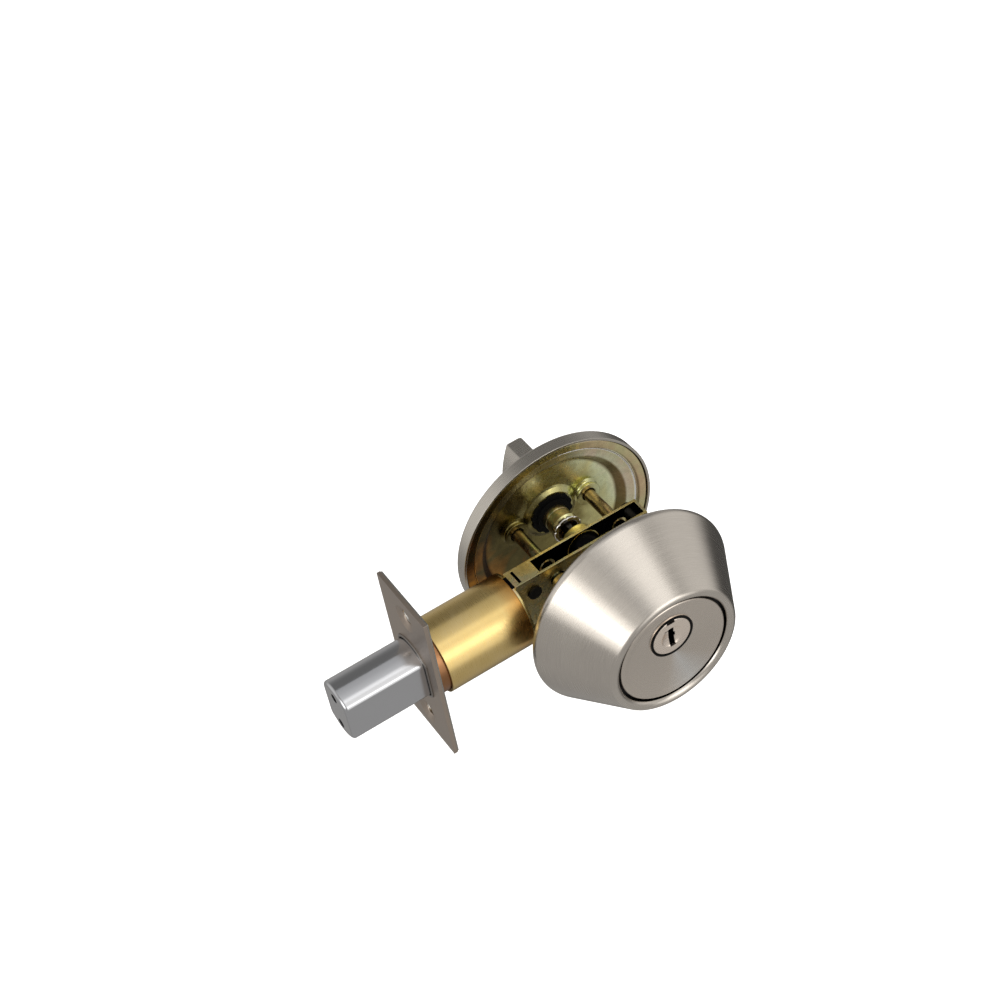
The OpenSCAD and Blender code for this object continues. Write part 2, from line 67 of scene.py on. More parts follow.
MM = 0.001
SHELL_TURNS = 320      # facets of the largest shells
TURNS = 256            # facets of a large round piece
RING_TURNS = 192       # facets of a small round piece seen close
FINE_TURNS = 96        # facets of a small one
SHARP = 35             # degrees between faces from which an edge counts as sharp
CUT_SHARP = 40         # the same for the edges that a bevel rounds on thin pressed pieces
EDGE = 0.15            # usual rounding of an edge
PAST = 1.0             # how far a cutter reaches past what it cuts
MERGE = 1e-5           # points closer than this are one


def span(node):
    """Lowest and highest corner of a CAD node, in millimetres."""
    low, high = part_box(node)
    return Vector(low) / MM, Vector(high) / MM


# ---------------------------------------------------------------- outlines and meshes


def arc(cx, cy, radius, start, end, steps=12):
    """Points of an arc, with its angles in degrees."""
    angles = [math.radians(start + (end - start) * i / steps) for i in range(steps + 1)]
    return [(cx + radius * math.cos(a), cy + radius * math.sin(a)) for a in angles]


def rounded(corners, radius, steps=5):
    """Closed outline with every corner rounded. A corner may give its own radius as a third number."""
    out = []
    for i, corner in enumerate(corners):
        here = Vector(corner[:2])
        before = Vector(corners[i - 1][:2]) - here
        after = Vector(corners[(i + 1) % len(corners)][:2]) - here
        r = corner[2] if len(corner) > 2 else radius
        half = before.angle(after) / 2
        reach = r / math.tan(half)
        if r <= 0 or reach > 0.5 * min(before.length, after.length):
            out.append(tuple(here))
            continue
        centre = here + (before.normalized() + after.normalized()).normalized() * r / math.sin(half)
        start = here + before.normalized() * reach - centre
        end = here + after.normalized() * reach - centre
        sweep = start.angle_signed(end)
        for step in range(steps + 1):
            turned = Matrix.Rotation(-sweep * step / steps, 2) @ start
            out.append(tuple(centre + turned))
    return out


def solid(name, mesh_data, sharp=SHARP):
    """Object from a bmesh in millimetres, with outward normals and smooth shading up to an angle."""
    bmesh.ops.remove_doubles(mesh_data, verts=mesh_data.verts, dist=MERGE)
    bmesh.ops.dissolve_degenerate(mesh_data, edges=mesh_data.edges, dist=MERGE)
    loose = [edge for edge in mesh_data.edges if not edge.link_faces]
    bmesh.ops.delete(mesh_data, geom=loose, context="EDGES")
    bmesh.ops.recalc_face_normals(mesh_data, faces=mesh_data.faces)
    bmesh.ops.scale(mesh_data, vec=(MM, MM, MM), verts=mesh_data.verts)
    mesh = bpy.data.meshes.new(name)
    mesh_data.to_mesh(mesh)
    mesh_data.free()
    obj = bpy.data.objects.new(name, mesh)
    bpy.context.scene.collection.objects.link(obj)
    shade(obj, sharp)
    return obj


def shade(obj, sharp=SHARP):
    """Smooth shading, except across edges of at least this many degrees."""
    obj.data.shade_smooth()
    obj.data.set_sharp_from_angle(angle=math.radians(sharp))


def skin(mesh_data, rings, closed, caps):
    """Faces between successive rings of points.

    closed joins the last ring to the first, and caps fills both ends.
    """
    loops = [[mesh_data.verts.new(point) for point in ring] for ring in rings]
    count = len(loops[0])
    last = len(loops) if closed else len(loops) - 1
    for i in range(last):
        near, far = loops[i], loops[(i + 1) % len(loops)]
        for j in range(count):
            k = (j + 1) % count
            mesh_data.faces.new((near[j], near[k], far[k], far[j]))
    if caps:
        mesh_data.faces.new(loops[0])
        mesh_data.faces.new(loops[-1])


def place(axis, across, along, up):
    """Point with its first and third numbers across the axis and its second along it."""
    return (along, across, up) if axis == "X" else (across, along, up)


def lathe(name, outline, axis="Y", centre=0.0, turns=TURNS, x=0.0):
    """Closed outline of (radius, place along the axis) turned about an axis at height centre."""
    mesh_data = bmesh.new()
    rings = []
    for i in range(turns):
        a = 2 * math.pi * i / turns
        ring = [place(axis, r * math.cos(a), h, centre + r * math.sin(a)) for r, h in outline]
        rings.append([(px + x, py, pz) for px, py, pz in ring])
    skin(mesh_data, rings, closed=True, caps=False)
    return solid(name, mesh_data)


def loft(name, outline_at, stations, axis):
    """Solid through outlines. outline_at(grow) gives (across, up) points; stations are (along, grow)."""
    mesh_data = bmesh.new()
    rings = [[place(axis, p[0], along, p[1]) for p in outline_at(grow)] for along, grow in stations]
    skin(mesh_data, rings, closed=False, caps=True)
    return solid(name, mesh_data)


def apply_modifiers(obj):
    """Turns the result of an object's modifiers into its mesh."""
    graph = bpy.context.evaluated_depsgraph_get()
    mesh = bpy.data.meshes.new_from_object(obj.evaluated_get(graph))
    obj.modifiers.clear()
    obj.data = mesh


def settle(obj):
    """Keeps the shading of large flat faces even, next to their rounded or cut edges."""
    change = obj.modifiers.new("settle", "WEIGHTED_NORMAL")
    change.keep_sharp = True


def cut(obj, *cutters):
    """Subtracts the cutters, which are then removed."""
    for cutter in cutters:
        change = obj.modifiers.new("cut", "BOOLEAN")
        change.operation = "DIFFERENCE"
        change.solver = "EXACT"
        change.object = cutter
        apply_modifiers(obj)
        bpy.data.objects.remove(cutter)
    shade(obj)
    return obj


def soften(obj, width, segments=2, angle=SHARP):
    """Rounds the sharp edges by a width in millimetres."""
    change = obj.modifiers.new("soften", "BEVEL")
    change.width = width * MM
    change.segments = segments
    change.limit_method = "ANGLE"
    change.angle_limit = math.radians(angle)
    change.use_clamp_overlap = True
    apply_modifiers(obj)
    shade(obj)
    return obj


def merge(name, *objs):
    """One object from several."""
    mesh_data = bmesh.new()
    for obj in objs:
        mesh_data.from_mesh(obj.data)
        bpy.data.objects.remove(obj)
    bmesh.ops.scale(mesh_data, vec=(1 / MM, 1 / MM, 1 / MM), verts=mesh_data.verts)
    return solid(name, mesh_data)


def disc_outline(radius, low, high, edge=EDGE):
    """Lathe outline of a plain disc that reaches the axis, with rounded edges."""
    return rounded([(0, low, 0), (radius, low), (radius, high), (0, high, 0)], edge)


def tube_outline(inner, outer, low, high, edge):
    """Lathe outline of a plain tube with rounded edges."""
    return rounded([(inner, low), (outer, low), (outer, high), (inner, high)], edge)


def bar(name, radius, low, high, axis="Y", centre=0.0, x=0.0, edge=EDGE):
    """Small round bar along an axis."""
    return lathe(name, disc_outline(radius, low, high, edge), axis, centre, FINE_TURNS, x)


def cone(name, outline, centre=0.0, x=0.0):
    """Small lathed piece along Y."""
    return lathe(name, outline, "Y", centre, FINE_TURNS, x)


def box_solid(name, low, high):
    """Plain box between two corners."""
    mesh_data = bmesh.new()
    bmesh.ops.create_cube(mesh_data, size=1.0)
    low, high = Vector(low), Vector(high)
    bmesh.ops.scale(mesh_data, vec=high - low, verts=mesh_data.verts)
    bmesh.ops.translate(mesh_data, vec=(low + high) / 2, verts=mesh_data.verts)
    return solid(name, mesh_data)


# ---------------------------------------------------------------- materials

NOISE_LOW, NOISE_HIGH = 0.3, 0.7        # most values of a noise lie between these
DIRT_LOW, DIRT_HIGH = 0.35, 0.75        # noise values from clean to dirty
SHADOW = (0.01, 0.01, 0.01)
# painted shade between the case plates
PLATE_GAP_SHADE = (0.006, 0.006, 0.007)
BLACK = (0.004, 0.004, 0.004)


class Paint:
    """A Principled material and short calls for its nodes."""

    def __init__(self, name, colour, rough, metallic=1.0, **sockets):
        self.material = bpy.data.materials.new(name)
        self.material.use_nodes = True
        self.tree = self.material.node_tree
        self.shader = self.tree.nodes["Principled BSDF"]
        self.set("Base Color", (*colour, 1))
        self.set("Roughness", rough)
        self.set("Metallic", metallic)
        if sockets.get("anisotropic"):
            self.set("Anisotropic Rotation", 0.25)
            turn = self.node("Tangent", {"direction_type": "RADIAL", "axis": sockets.pop("around", "Y")})
            self.to("Tangent", turn.outputs[0])
        for socket, value in sockets.items():
            self.set(socket.replace("_", " ").title().replace("Ior", "IOR"), value)

    def set(self, socket, value):
        self.shader.inputs[socket].default_value = value

    def node(self, kind, settings=None, **inputs):
        made = self.tree.nodes.new("ShaderNode" + kind)
        for key, value in (settings or {}).items():
            setattr(made, key, value)
        for key, value in inputs.items():
            self.feed(value, made.inputs[key.replace("_", " ")])
        return made

    def feed(self, value, socket):
        if isinstance(value, bpy.types.NodeSocket):
            self.tree.links.new(value, socket)
        else:
            socket.default_value = value

    def to(self, socket, value):
        self.feed(value, self.shader.inputs[socket])

    def maths(self, operation, a, b=0.0):
        made = self.tree.nodes.new("ShaderNodeMath")
        made.operation = operation
        self.feed(a, made.inputs[0])
        self.feed(b, made.inputs[1])
        return made.outputs[0]

    def place(self):
        """Coordinates of the piece in millimetres, as separate X, Y and Z."""
        coords = self.node("TexCoord").outputs["Object"]
        scaled = self.node("VectorMath", {"operation": "SCALE"}, Scale=1 / MM)
        self.tree.links.new(coords, scaled.inputs[0])
        parts = self.node("SeparateXYZ", Vector=scaled.outputs[0])
        return scaled.outputs[0], parts.outputs

    def vector(self, x, y, z):
        return self.node("CombineXYZ", X=x, Y=y, Z=z).outputs[0]

    def noise(self, vector, scale, detail=4.0, rough=0.55, distortion=0.0):
        made = self.node("TexNoise", Vector=vector, Scale=scale, Detail=detail, Roughness=rough,
                         Distortion=distortion)
        return made.outputs["Fac"]

    def remap(self, value, low, high, to_low, to_high):
        made = self.node("MapRange", Value=value)
        for key, number in zip(("From Min", "From Max", "To Min", "To Max"), (low, high, to_low, to_high)):
            made.inputs[key].default_value = number
        return made.outputs[0]

    def ramp(self, value, stops):
        made = self.node("ValToRGB", Fac=value)
        elements = made.color_ramp.elements
        while len(elements) < len(stops):
            elements.new(0.5)
        for element, (where, colour) in zip(elements, stops):
            element.position = where
            element.color = (*colour, 1)
        return made.outputs["Color"]

    def mix(self, factor, a, b, blend="MIX"):
        made = self.tree.nodes.new("ShaderNodeMix")
        made.data_type = "RGBA"
        made.blend_type = blend
        self.feed(factor, made.inputs[0])
        self.feed(a, made.inputs[6])
        self.feed(b, made.inputs[7])
        return made.outputs[2]

    def within(self, value, half):
        """1 where a coordinate lies less than half from zero, else 0."""
        return self.maths("LESS_THAN", self.maths("ABSOLUTE", value), half)

    def darken(self, where, colour, dark):
        """The colour, replaced by a dark one where a mask is 1."""
        return self.mix(where, colour, (*dark, 1))

    def radius(self, a, b):
        """Distance from an axis, out of the two coordinates across it."""
        squares = self.maths("ADD", self.maths("MULTIPLY", a, a), self.maths("MULTIPLY", b, b))
        return self.maths("SQRT", squares)

    def bump(self, height, distance):
        made = self.node("Bump", Height=height, Distance=distance * MM)
        self.to("Normal", made.outputs["Normal"])


def grain_vector(paint, lines):
    """Coordinates that are stretched along the brush lines: round Y, round X, or straight along an axis."""
    across = 3.0
    lengthwise = 0.08
    per_radian = 1.6
    _, (x, y, z) = paint.place()
    if lines in ("round_y", "round_x"):
        side, along = (x, y) if lines == "round_y" else (y, x)
        angle = paint.maths("ARCTAN2", z, side)
        return paint.vector(paint.maths("MULTIPLY", paint.radius(side, z), across),
                            paint.maths("MULTIPLY", along, across),
                            paint.maths("MULTIPLY", angle, per_radian))
    stretched = [paint.maths("MULTIPLY", part, lengthwise if axis == lines else across)
                 for axis, part in zip("xyz", (x, y, z))]
    return paint.vector(*stretched)


def brushed(name, colour, rough, lines, anisotropic=0.0, depth=0.012, spread=0.12, tint=0.06, mask=None,
            dark=SHADOW, painted_fan_sheen=False):
    """Brushed or satin metal: fine lines in roughness, colour and bump, with faint broad smudges.

    A paler sector can be painted into the colour: a painted reflection that stands in for the sheen a turned
    face shows.
    """
    paint = Paint(name, colour, rough, anisotropic=anisotropic)
    grain = grain_vector(paint, lines)
    fine = paint.noise(grain, 2.2, detail=6.0, rough=0.7)
    place_mm, _ = paint.place()
    smudge = paint.noise(place_mm, 0.06, detail=3.0)
    wear = paint.mix(0.35, fine, smudge)
    paint.to("Roughness", paint.remap(wear, NOISE_LOW, NOISE_HIGH, rough - spread / 2, rough + spread / 2))
    low = tuple(c * (1 - tint) for c in colour)
    light = tuple(min(1.0, c * (1 + tint)) for c in colour)
    base = paint.ramp(wear, [(NOISE_LOW, low), (NOISE_HIGH, light)])
    # painted reflection: a paler sector round the axis stands in for the disc's sheen
    if painted_fan_sheen:
        middle, half_width = -1.25, 0.55        # radians round the axis
        pale = (0.78, 0.77, 0.75, 1)
        _, (x, _, z) = paint.place()
        away = paint.maths("SUBTRACT", paint.maths("ARCTAN2", z, x), middle)
        sector = paint.remap(paint.maths("ABSOLUTE", away), 0.0, half_width, 1.0, 0.0)
        base = paint.mix(sector, base, pale)
    # where a mask is 1 the colour turns dark: painted shade in the collar's disc seat and in the keyway, the
    # sleeve's own copper colour behind the faceplate
    paint.to("Base Color", paint.darken(mask(paint), base, dark) if mask else base)
    paint.bump(fine, depth)
    return paint.material


def polished(name, colour, rough, lines):
    """Plated metal with a bright finish and faint polishing lines."""
    return brushed(name, colour, rough, lines, depth=0.002, spread=0.05, tint=0.03)


def passivated(name, stops, rough, scale, grime=0.25, mask=None):
    """Yellow-passivated steel: soft patches of interference colour."""
    paint = Paint(name, stops[0][1], rough)
    place_mm, _ = paint.place()
    cloud = paint.noise(place_mm, scale, detail=5.0, rough=0.55, distortion=0.6)
    colour = paint.ramp(cloud, stops)
    dirt = paint.noise(place_mm, scale * 4, detail=6.0, rough=0.65)
    grey = paint.remap(dirt, DIRT_LOW, DIRT_HIGH, 1.0, 1.0 - grime)
    base = paint.mix(1.0, colour, grey, "MULTIPLY")
    # painted shade where the mask is 1, between the case plates
    paint.to("Base Color", paint.darken(mask(paint), base, PLATE_GAP_SHADE) if mask else base)
    paint.to("Roughness", paint.remap(dirt, NOISE_LOW, NOISE_HIGH, rough - 0.06, rough + 0.1))
    paint.bump(paint.noise(place_mm, 1.6, detail=4.0), 0.012)
    return paint.material


# Colour factors of the backing plate from its middle outwards, each at a share of RIM_R. They paint light and
# shade: the wall's dark band is painted shade and the ridge's bright band a painted highlight; the floor,
# step and ring bands are partly their tone and partly painted reflection.
RIM_R = 33.0
PAN_FLOOR = [(0.0, (0.66, 0.64, 0.46)), (0.55, (0.80, 0.76, 0.56)), (0.68, (1.1, 1.05, 0.85))]
PAN_WALL_SHADE = [(0.71, (0.22, 0.16, 0.08)), (0.765, (0.28, 0.20, 0.10))]
PAN_STEP = [(0.785, (0.90, 0.84, 0.72)), (0.852, (0.85, 0.76, 0.60))]
PAN_RIDGE_HIGHLIGHT = [(0.862, (1.9, 1.8, 1.5)), (0.876, (1.9, 1.8, 1.5)), (0.884, (0.35, 0.28, 0.18))]
PAN_RING = [(0.90, (0.80, 0.66, 0.45)), (1.0, (0.90, 0.78, 0.55))]


def pressed_chromate(name, stops, rough):
    """Backing plate: olive passivation, painted paler up on the right as a painted reflection, with painted
    dark brown shade on the wall round the pan.
    """
    paint = Paint(name, stops[0][1], rough)
    place_mm, (x, _, z) = paint.place()
    cloud = paint.noise(place_mm, 0.085, detail=2.5, rough=0.5, distortion=0.8)
    # painted reflection: the colour grows paler towards the upper right
    reflection_tilt = paint.maths("ADD", paint.maths("MULTIPLY", x, 0.62), paint.maths("MULTIPLY", z, 0.38))
    side = paint.remap(reflection_tilt, -24.0, 20.0, 0.0, 1.0)
    colour = paint.ramp(paint.mix(0.6, cloud, side), stops)
    # painted shade and highlight in rings round the middle, from the factors above
    wall = paint.ramp(paint.remap(paint.radius(x, z), 0.0, RIM_R, 0.0, 1.0),
                      PAN_FLOOR + PAN_WALL_SHADE + PAN_STEP + PAN_RIDGE_HIGHLIGHT + PAN_RING)
    base = paint.mix(1.0, colour, wall, "MULTIPLY")
    dirt = paint.noise(place_mm, 0.5, detail=6.0, rough=0.65)
    base = paint.mix(1.0, base, paint.remap(dirt, DIRT_LOW, DIRT_HIGH, 1.0, 0.8), "MULTIPLY")
    paint.to("Base Color", base)
    paint.to("Roughness", paint.remap(dirt, NOISE_LOW, NOISE_HIGH, rough - 0.05, rough + 0.08))
    paint.bump(paint.noise(place_mm, 0.7, detail=4.0), 0.01)
    return paint.material


def cast(name, colour, rough, metallic=1.0, mask=None, **sockets):
    """Plain cast or turned surface with a fine grain, and a black part where a mask is 1, which is painted
    shadow.
    """
    paint = Paint(name, colour, rough, metallic, **sockets)
    place_mm, _ = paint.place()
    grain = paint.noise(place_mm, 1.4, detail=6.0)
    paint.to("Roughness", paint.remap(grain, NOISE_LOW, NOISE_HIGH, rough - 0.08, rough + 0.08))
    base = paint.ramp(grain, [(NOISE_LOW, tuple(c * 0.85 for c in colour)), (NOISE_HIGH, colour)])
    paint.to("Base Color", paint.darken(mask(paint), base, BLACK) if mask else base)
    paint.bump(grain, 0.02)
    return paint.material


def shaded_between_plates(paint):
    """1 on the faces between the case plates, which are painted dark as the shade between them."""
    _, (_, y, z) = paint.place()
    low, high = span("case_inner_plate")
    half_room = 0.05 - low.y
    half_height = high.z - 0.1
    return paint.maths("MULTIPLY", paint.within(y, half_room), paint.within(z, half_height))


def shaded_keyway(paint):
    """1 on everything that lies deeper than the plug's face, which is painted black as the keyway's shade."""
    depth = 0.8
    _, (_, y, _) = paint.place()
    return paint.maths("GREATER_THAN", y, span("key_plug")[0].y + depth)


def shaded_disc_recess(paint):
    """1 on the wall of the collar's seat for the disc, which is painted black as the groove's shade."""
    gap, depth = 0.62, 1.1
    _, (x, y, z) = paint.place()
    inside = paint.maths("LESS_THAN", paint.radius(x, z), span("face_disc")[1].x + gap)
    return paint.maths("MULTIPLY", inside, paint.maths("GREATER_THAN", y, span("collar")[0].y + depth))


def in_plug_gap(paint):
    """1 on the front of the cylinder's body, which lies in the shadow of the disc's hole."""
    behind_disc = 0.5
    _, (_, y, _) = paint.place()
    return paint.maths("LESS_THAN", y, span("face_disc")[1].y + behind_disc)


def behind_faceplate(paint):
    """1 on the part of the guide sleeve that lies behind the faceplate."""
    _, (x, _, _) = paint.place()
    return paint.maths("GREATER_THAN", x, span("faceplate")[1].x)


def tube_gold(name, gold):
    """Satin gold tube, with a darker orange and green tint towards its rear end."""
    paint = Paint(name, gold[1][1], 0.30, anisotropic=0.4, around="X")
    grain = grain_vector(paint, "round_x")
    fine = paint.noise(grain, 1.8, detail=6.0, rough=0.7)
    place_mm, (x, _, _) = paint.place()
    cloud = paint.noise(place_mm, 0.12, detail=3.0)
    base = paint.ramp(paint.mix(0.5, fine, cloud), gold)
    rear = span("bolt_tube")[1].x
    edge = paint.maths("ADD", x, paint.remap(cloud, 0.2, 0.8, -3.0, 3.0))
    tinted = paint.remap(edge, rear - 7.0, rear - 0.5, 0.0, 1.0)
    tints = [(0.35, (0.52, 0.24, 0.05)), (0.55, (0.62, 0.33, 0.08)), (0.7, (0.42, 0.33, 0.10))]
    tint = paint.ramp(cloud, tints)
    paint.to("Base Color", paint.mix(tinted, base, tint))
    paint.to("Roughness", paint.remap(fine, NOISE_LOW, NOISE_HIGH, 0.24, 0.38))
    paint.bump(fine, 0.008)
    return paint.material


def build_materials():
    """Every material by its name, which is a slot of the record or a look of its own."""
    olive = [(0.20, (0.66, 0.34, 0.06)), (0.28, (0.28, 0.15, 0.05)), (0.36, (0.14, 0.12, 0.06)),
             (0.45, (0.20, 0.17, 0.08)), (0.55, (0.42, 0.37, 0.18)), (0.63, (0.86, 0.84, 0.52)),
             (0.71, (0.90, 1.0, 0.80)), (0.84, (1.0, 0.90, 0.80))]
    yellow = [(0.30, (0.60, 0.46, 0.15)), (0.45, (0.80, 0.64, 0.26)), (0.55, (0.66, 0.62, 0.34)),
              (0.65, (0.86, 0.66, 0.36)), (0.75, (0.84, 0.54, 0.40))]
    barrel = [(0.30, (0.24, 0.19, 0.10)), (0.44, (0.40, 0.29, 0.16)), (0.56, (0.26, 0.28, 0.15)),
              (0.68, (0.50, 0.34, 0.24))]
    gold = [(0.30, (0.68, 0.49, 0.19)), (0.50, (0.75, 0.56, 0.23)), (0.70, (0.80, 0.62, 0.30))]
    return {
        "brushed_stainless": brushed("brushed_stainless", (0.62, 0.58, 0.53), 0.25, "round_y",
                                     anisotropic=0.75, tint=0.14, mask=shaded_disc_recess),
        # the disc's colour carries a painted reflection, a paler sector at the lower right
        "disc_stainless": brushed("disc_stainless", (0.68, 0.62, 0.555), 0.27, "round_y", anisotropic=0.75,
                                  depth=0.005, tint=0.05, painted_fan_sheen=True),
        "plug_nickel": brushed("plug_nickel", (0.95, 0.84, 0.74), 0.28, "x", depth=0.006, mask=shaded_keyway),
        "satin_nickel": polished("satin_nickel", (0.58, 0.55, 0.50), 0.27, "round_y"),
        "satin_nickel_plate": brushed("satin_nickel_plate", (0.46, 0.39, 0.33), 0.34, "z", tint=0.12),
        "bolt_chrome": polished("bolt_chrome", (0.55, 0.56, 0.585), 0.16, "x"),
        "gold_tube": tube_gold("gold_tube", gold),
        "copper_sleeve": brushed("copper_sleeve", (0.30, 0.28, 0.26), 0.32, "round_x", mask=behind_faceplate,
                                 dark=(0.34, 0.17, 0.08)),
        "yellow_chromate": passivated("yellow_chromate", yellow, 0.28, 0.16, mask=shaded_between_plates),
        "olive_chromate": pressed_chromate("olive_chromate", olive, 0.26),
        "gold_cam": passivated("gold_cam", yellow, 0.30, 0.2, grime=0.15, mask=shaded_between_plates),
        "barrel_chromate": passivated("barrel_chromate", barrel, 0.30, 0.22, grime=0.25),
        "screw_steel": passivated("screw_steel", barrel, 0.26, 0.12, grime=0.1, mask=shaded_between_plates),
        "rivet_steel": cast("rivet_steel", (0.03, 0.028, 0.024), 0.45),
        "bright_ring": polished("bright_ring", (0.80, 0.78, 0.75), 0.12, "round_y"),
        "plated_steel": cast("plated_steel", (0.45, 0.44, 0.41), 0.30),
        "liner_steel": cast("liner_steel", (0.34, 0.32, 0.27), 0.36),
        "spring_steel": cast("spring_steel", (0.35, 0.35, 0.37), 0.28),
        "dark_steel": cast("dark_steel", (0.06, 0.057, 0.05), 0.40),
        "cylinder_brass": cast("cylinder_brass", (0.50, 0.38, 0.17), 0.32, mask=in_plug_gap),
        "black_bushing": cast("black_bushing", BLACK, 0.75, metallic=0.0, specular_ior_level=0.1),
        "key_pin_brass": cast("key_pin_brass", (0.05, 0.04, 0.02), 0.45),
        "case_steel": cast("case_steel", (0.08, 0.078, 0.072), 0.42),
    }


# ---------------------------------------------------------------- the outside trim

SLOT_OF = {entry["node"]: entry["material_slot"] for entry in frame["record"]["subparts"]}


def dress(obj, body, *nodes, look=None):
    """obj rides on a body and stands for CAD nodes.

    Its material is that of the first node, unless look names another.
    """
    settle(obj)
    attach(obj, body)
    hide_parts(*nodes)
    name = SLOT_OF[nodes[0]]
    obj.data.materials.clear()
    obj.data.materials.append(materials[look or name])


low, high = span("collar")
TRIM_R = high.x
DOOR_OUT = high.y
COLLAR_FRONT = low.y
DISC_LOW, DISC_HIGH = span("face_disc")
HUB_Z = sum(v.z for v in span("spindle_barrel")) / 2
PLUG_LOW, PLUG_HIGH = span("key_plug")
PLUG_R = PLUG_HIGH.x
PLUG_RING_R = PLUG_R + 0.86        # outer radius of the ring round the plug


def make_collar():
    """Tapered shell: rounded shoulder at the door, straight cone, rounded nose and a seat for the disc."""
    wall = 1.4
    cone_angle = 29.9
    shoulder = 2.2
    shoulder_end = 60
    nose = 1.6
    ledge = 1.2
    ledge_in = 11.4
    recess = DISC_HIGH.x + 0.5
    seat = DISC_HIGH.y
    shoulder_y = DOOR_OUT - shoulder * math.sin(math.radians(shoulder_end))
    inner = TRIM_R - 2.5
    outline = arc(TRIM_R - shoulder, shoulder_y, shoulder, shoulder_end, -cone_angle, 16)
    outline += arc(recess + nose, COLLAR_FRONT + nose, nose, -cone_angle, -180, 28)
    outline += [(recess, seat), (recess - wall, seat), (recess - wall, seat + ledge)]
    outline += [(TRIM_R - ledge_in, seat + ledge)]
    outline += [(inner, shoulder_y - shoulder), (inner, DOOR_OUT)]
    return lathe("collar_shell", outline, turns=SHELL_TURNS)


def make_disc():
    """Slightly dished disc with a soft raised edge and a hole for the plug's ring."""
    radius = DISC_HIGH.x - 0.2
    face = DISC_LOW.y
    dish = 0.30
    outline = [(0, DISC_HIGH.y), (0, face + dish), (radius - 3.4, face + dish), (radius - 2.2, face + 0.16)]
    outline += [(radius - 1.3, face + 0.04)]
    outline += arc(radius - 0.5, face + 0.5, 0.5, -90, 0, 6) + [(radius, DISC_HIGH.y)]
    disc = lathe("face_disc_shell", outline)
    return cut(disc, bar("hole", PLUG_RING_R, face - PAST, DISC_HIGH.y + PAST, centre=HUB_Z, edge=0))


def make_nose_ring():
    """Rounded end of the cylinder's body, seen as a ring around the plug."""
    face = DISC_LOW.y + 0.12
    inner, outer = PLUG_R + 0.42, PLUG_RING_R
    outline = rounded([(inner, face + 0.1), (inner + 0.12, face), (outer, face), (outer, DISC_HIGH.y),
                       (inner, DISC_HIGH.y)], 0.2)
    return lathe("cylinder_nose", outline, centre=HUB_Z, turns=RING_TURNS)


def make_plug():
    """Key plug: rounded face, a dish round the keyway, the stepped keyway and a mark at its top."""
    face, back = PLUG_LOW.y, PLUG_HIGH.y
    edge = 0.35
    outline = [(0, back), (0, face)] + arc(PLUG_R - edge, face + edge, edge, -90, 0, 6) + [(PLUG_R, back)]
    plug = lathe("key_plug_face", outline, centre=HUB_Z, turns=RING_TURNS)
    deep = back - 3
    mark_half, mark_depth, mark_in = 1.3, 2.2, 1.0
    half, ward = 0.9, 1.3
    top, foot, hook = 3.3, -3.9, -2.3
    keyway = rounded([(hook, top), (hook, 2.3), (-half, 2.6), (-half, foot), (half, foot), (half, -0.6),
                      (ward, -0.6), (ward, 0.9), (half, 0.9), (half, top)], 0.15)
    slot_hole = loft("keyway", lambda grow: [(px, HUB_Z + pz) for px, pz in keyway],
                     [(face - PAST, 0), (deep, 0)], "Y")
    dish = cone("dish", [(0, face + 0.7), (0, face - 0.6), (4.3, face - 0.6), (3.2, face + 0.35)], HUB_Z)
    mark = box_solid("mark", (-mark_half, face - PAST, HUB_Z + PLUG_R - mark_in),
                     (mark_half, face + mark_depth, HUB_Z + PLUG_R + PAST))
    return soften(cut(plug, dish, mark, slot_hole), 0.06, 1)


def outside_trim():
    """The pieces of the key side."""
    dress(make_collar(), "lock", "collar")
    dress(make_disc(), "lock", "face_disc")
    ring = make_nose_ring()
    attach(ring, "lock")
    ring.data.materials.append(materials["plug_nickel"])
    dress(make_plug(), "plug", "key_plug")


# ---------------------------------------------------------------- the bolt and its case

BOLT_LOW, BOLT_HIGH = span("bolt_bar")
BOLT_R = 9.2
FLAT = BOLT_HIGH.y


def bolt_outline(grow):
    """Round bar with two flats: (y, z) points, with the corners between round and flat eased."""
    steps = 24
    corner = 0.5
    radius = BOLT_R + grow
    flat = FLAT + grow
    limit = math.degrees(math.acos(flat / radius))
    top = arc(0, 0, radius, limit, 180 - limit, steps)
    bottom = arc(0, 0, radius, 180 + limit, 360 - limit, steps)
    ease = [(flat, top[0][1] - corner), (-flat, top[-1][1] - corner)]
    low_ease = [(-flat, bottom[0][1] + corner), (flat, bottom[-1][1] + corner)]
    return [ease[0]] + top[1:-1] + [ease[1], low_ease[0]] + bottom[1:-1] + [low_ease[1]]


def rounded_end(tip, edge, away, steps=6):
    """Stations of a rounded end: from the flat tip to the full outline, edge millimetres further away."""
    out = []
    for i in range(steps + 1):
        a = math.pi / 2 * i / steps
        out.append((tip + away * edge * (1 - math.cos(a)), -edge * (1 - math.sin(a))))
    return out


def make_bolt():
    """Chrome bolt bar with rounded end edges, two roller holes and the drawbar's slot."""
    tip, back = BOLT_LOW.x, BOLT_HIGH.x
    tip_edge, back_edge = 1.1, 0.3
    pin_r, pin_z = 1.45, 5.6
    slot_low, slot_high = -8, -2
    stations = rounded_end(tip, tip_edge, 1) + [(back - back_edge, 0), (back, -back_edge)]
    bolt = loft("bolt_bar_body", bolt_outline, stations, "X")
    draw_low, draw_high = span("drawbar")
    roller = span("hardened_pins")
    holes = [bar("hole", pin_r, tip - PAST, roller[1].x, "X", z, edge=0) for z in (-pin_z, pin_z)]
    slot_hole = box_solid("slot", (draw_low.x, draw_low.y, slot_low),
                          (back + PAST, draw_high.y + 0.02, slot_high))
    return cut(bolt, slot_hole, *holes)


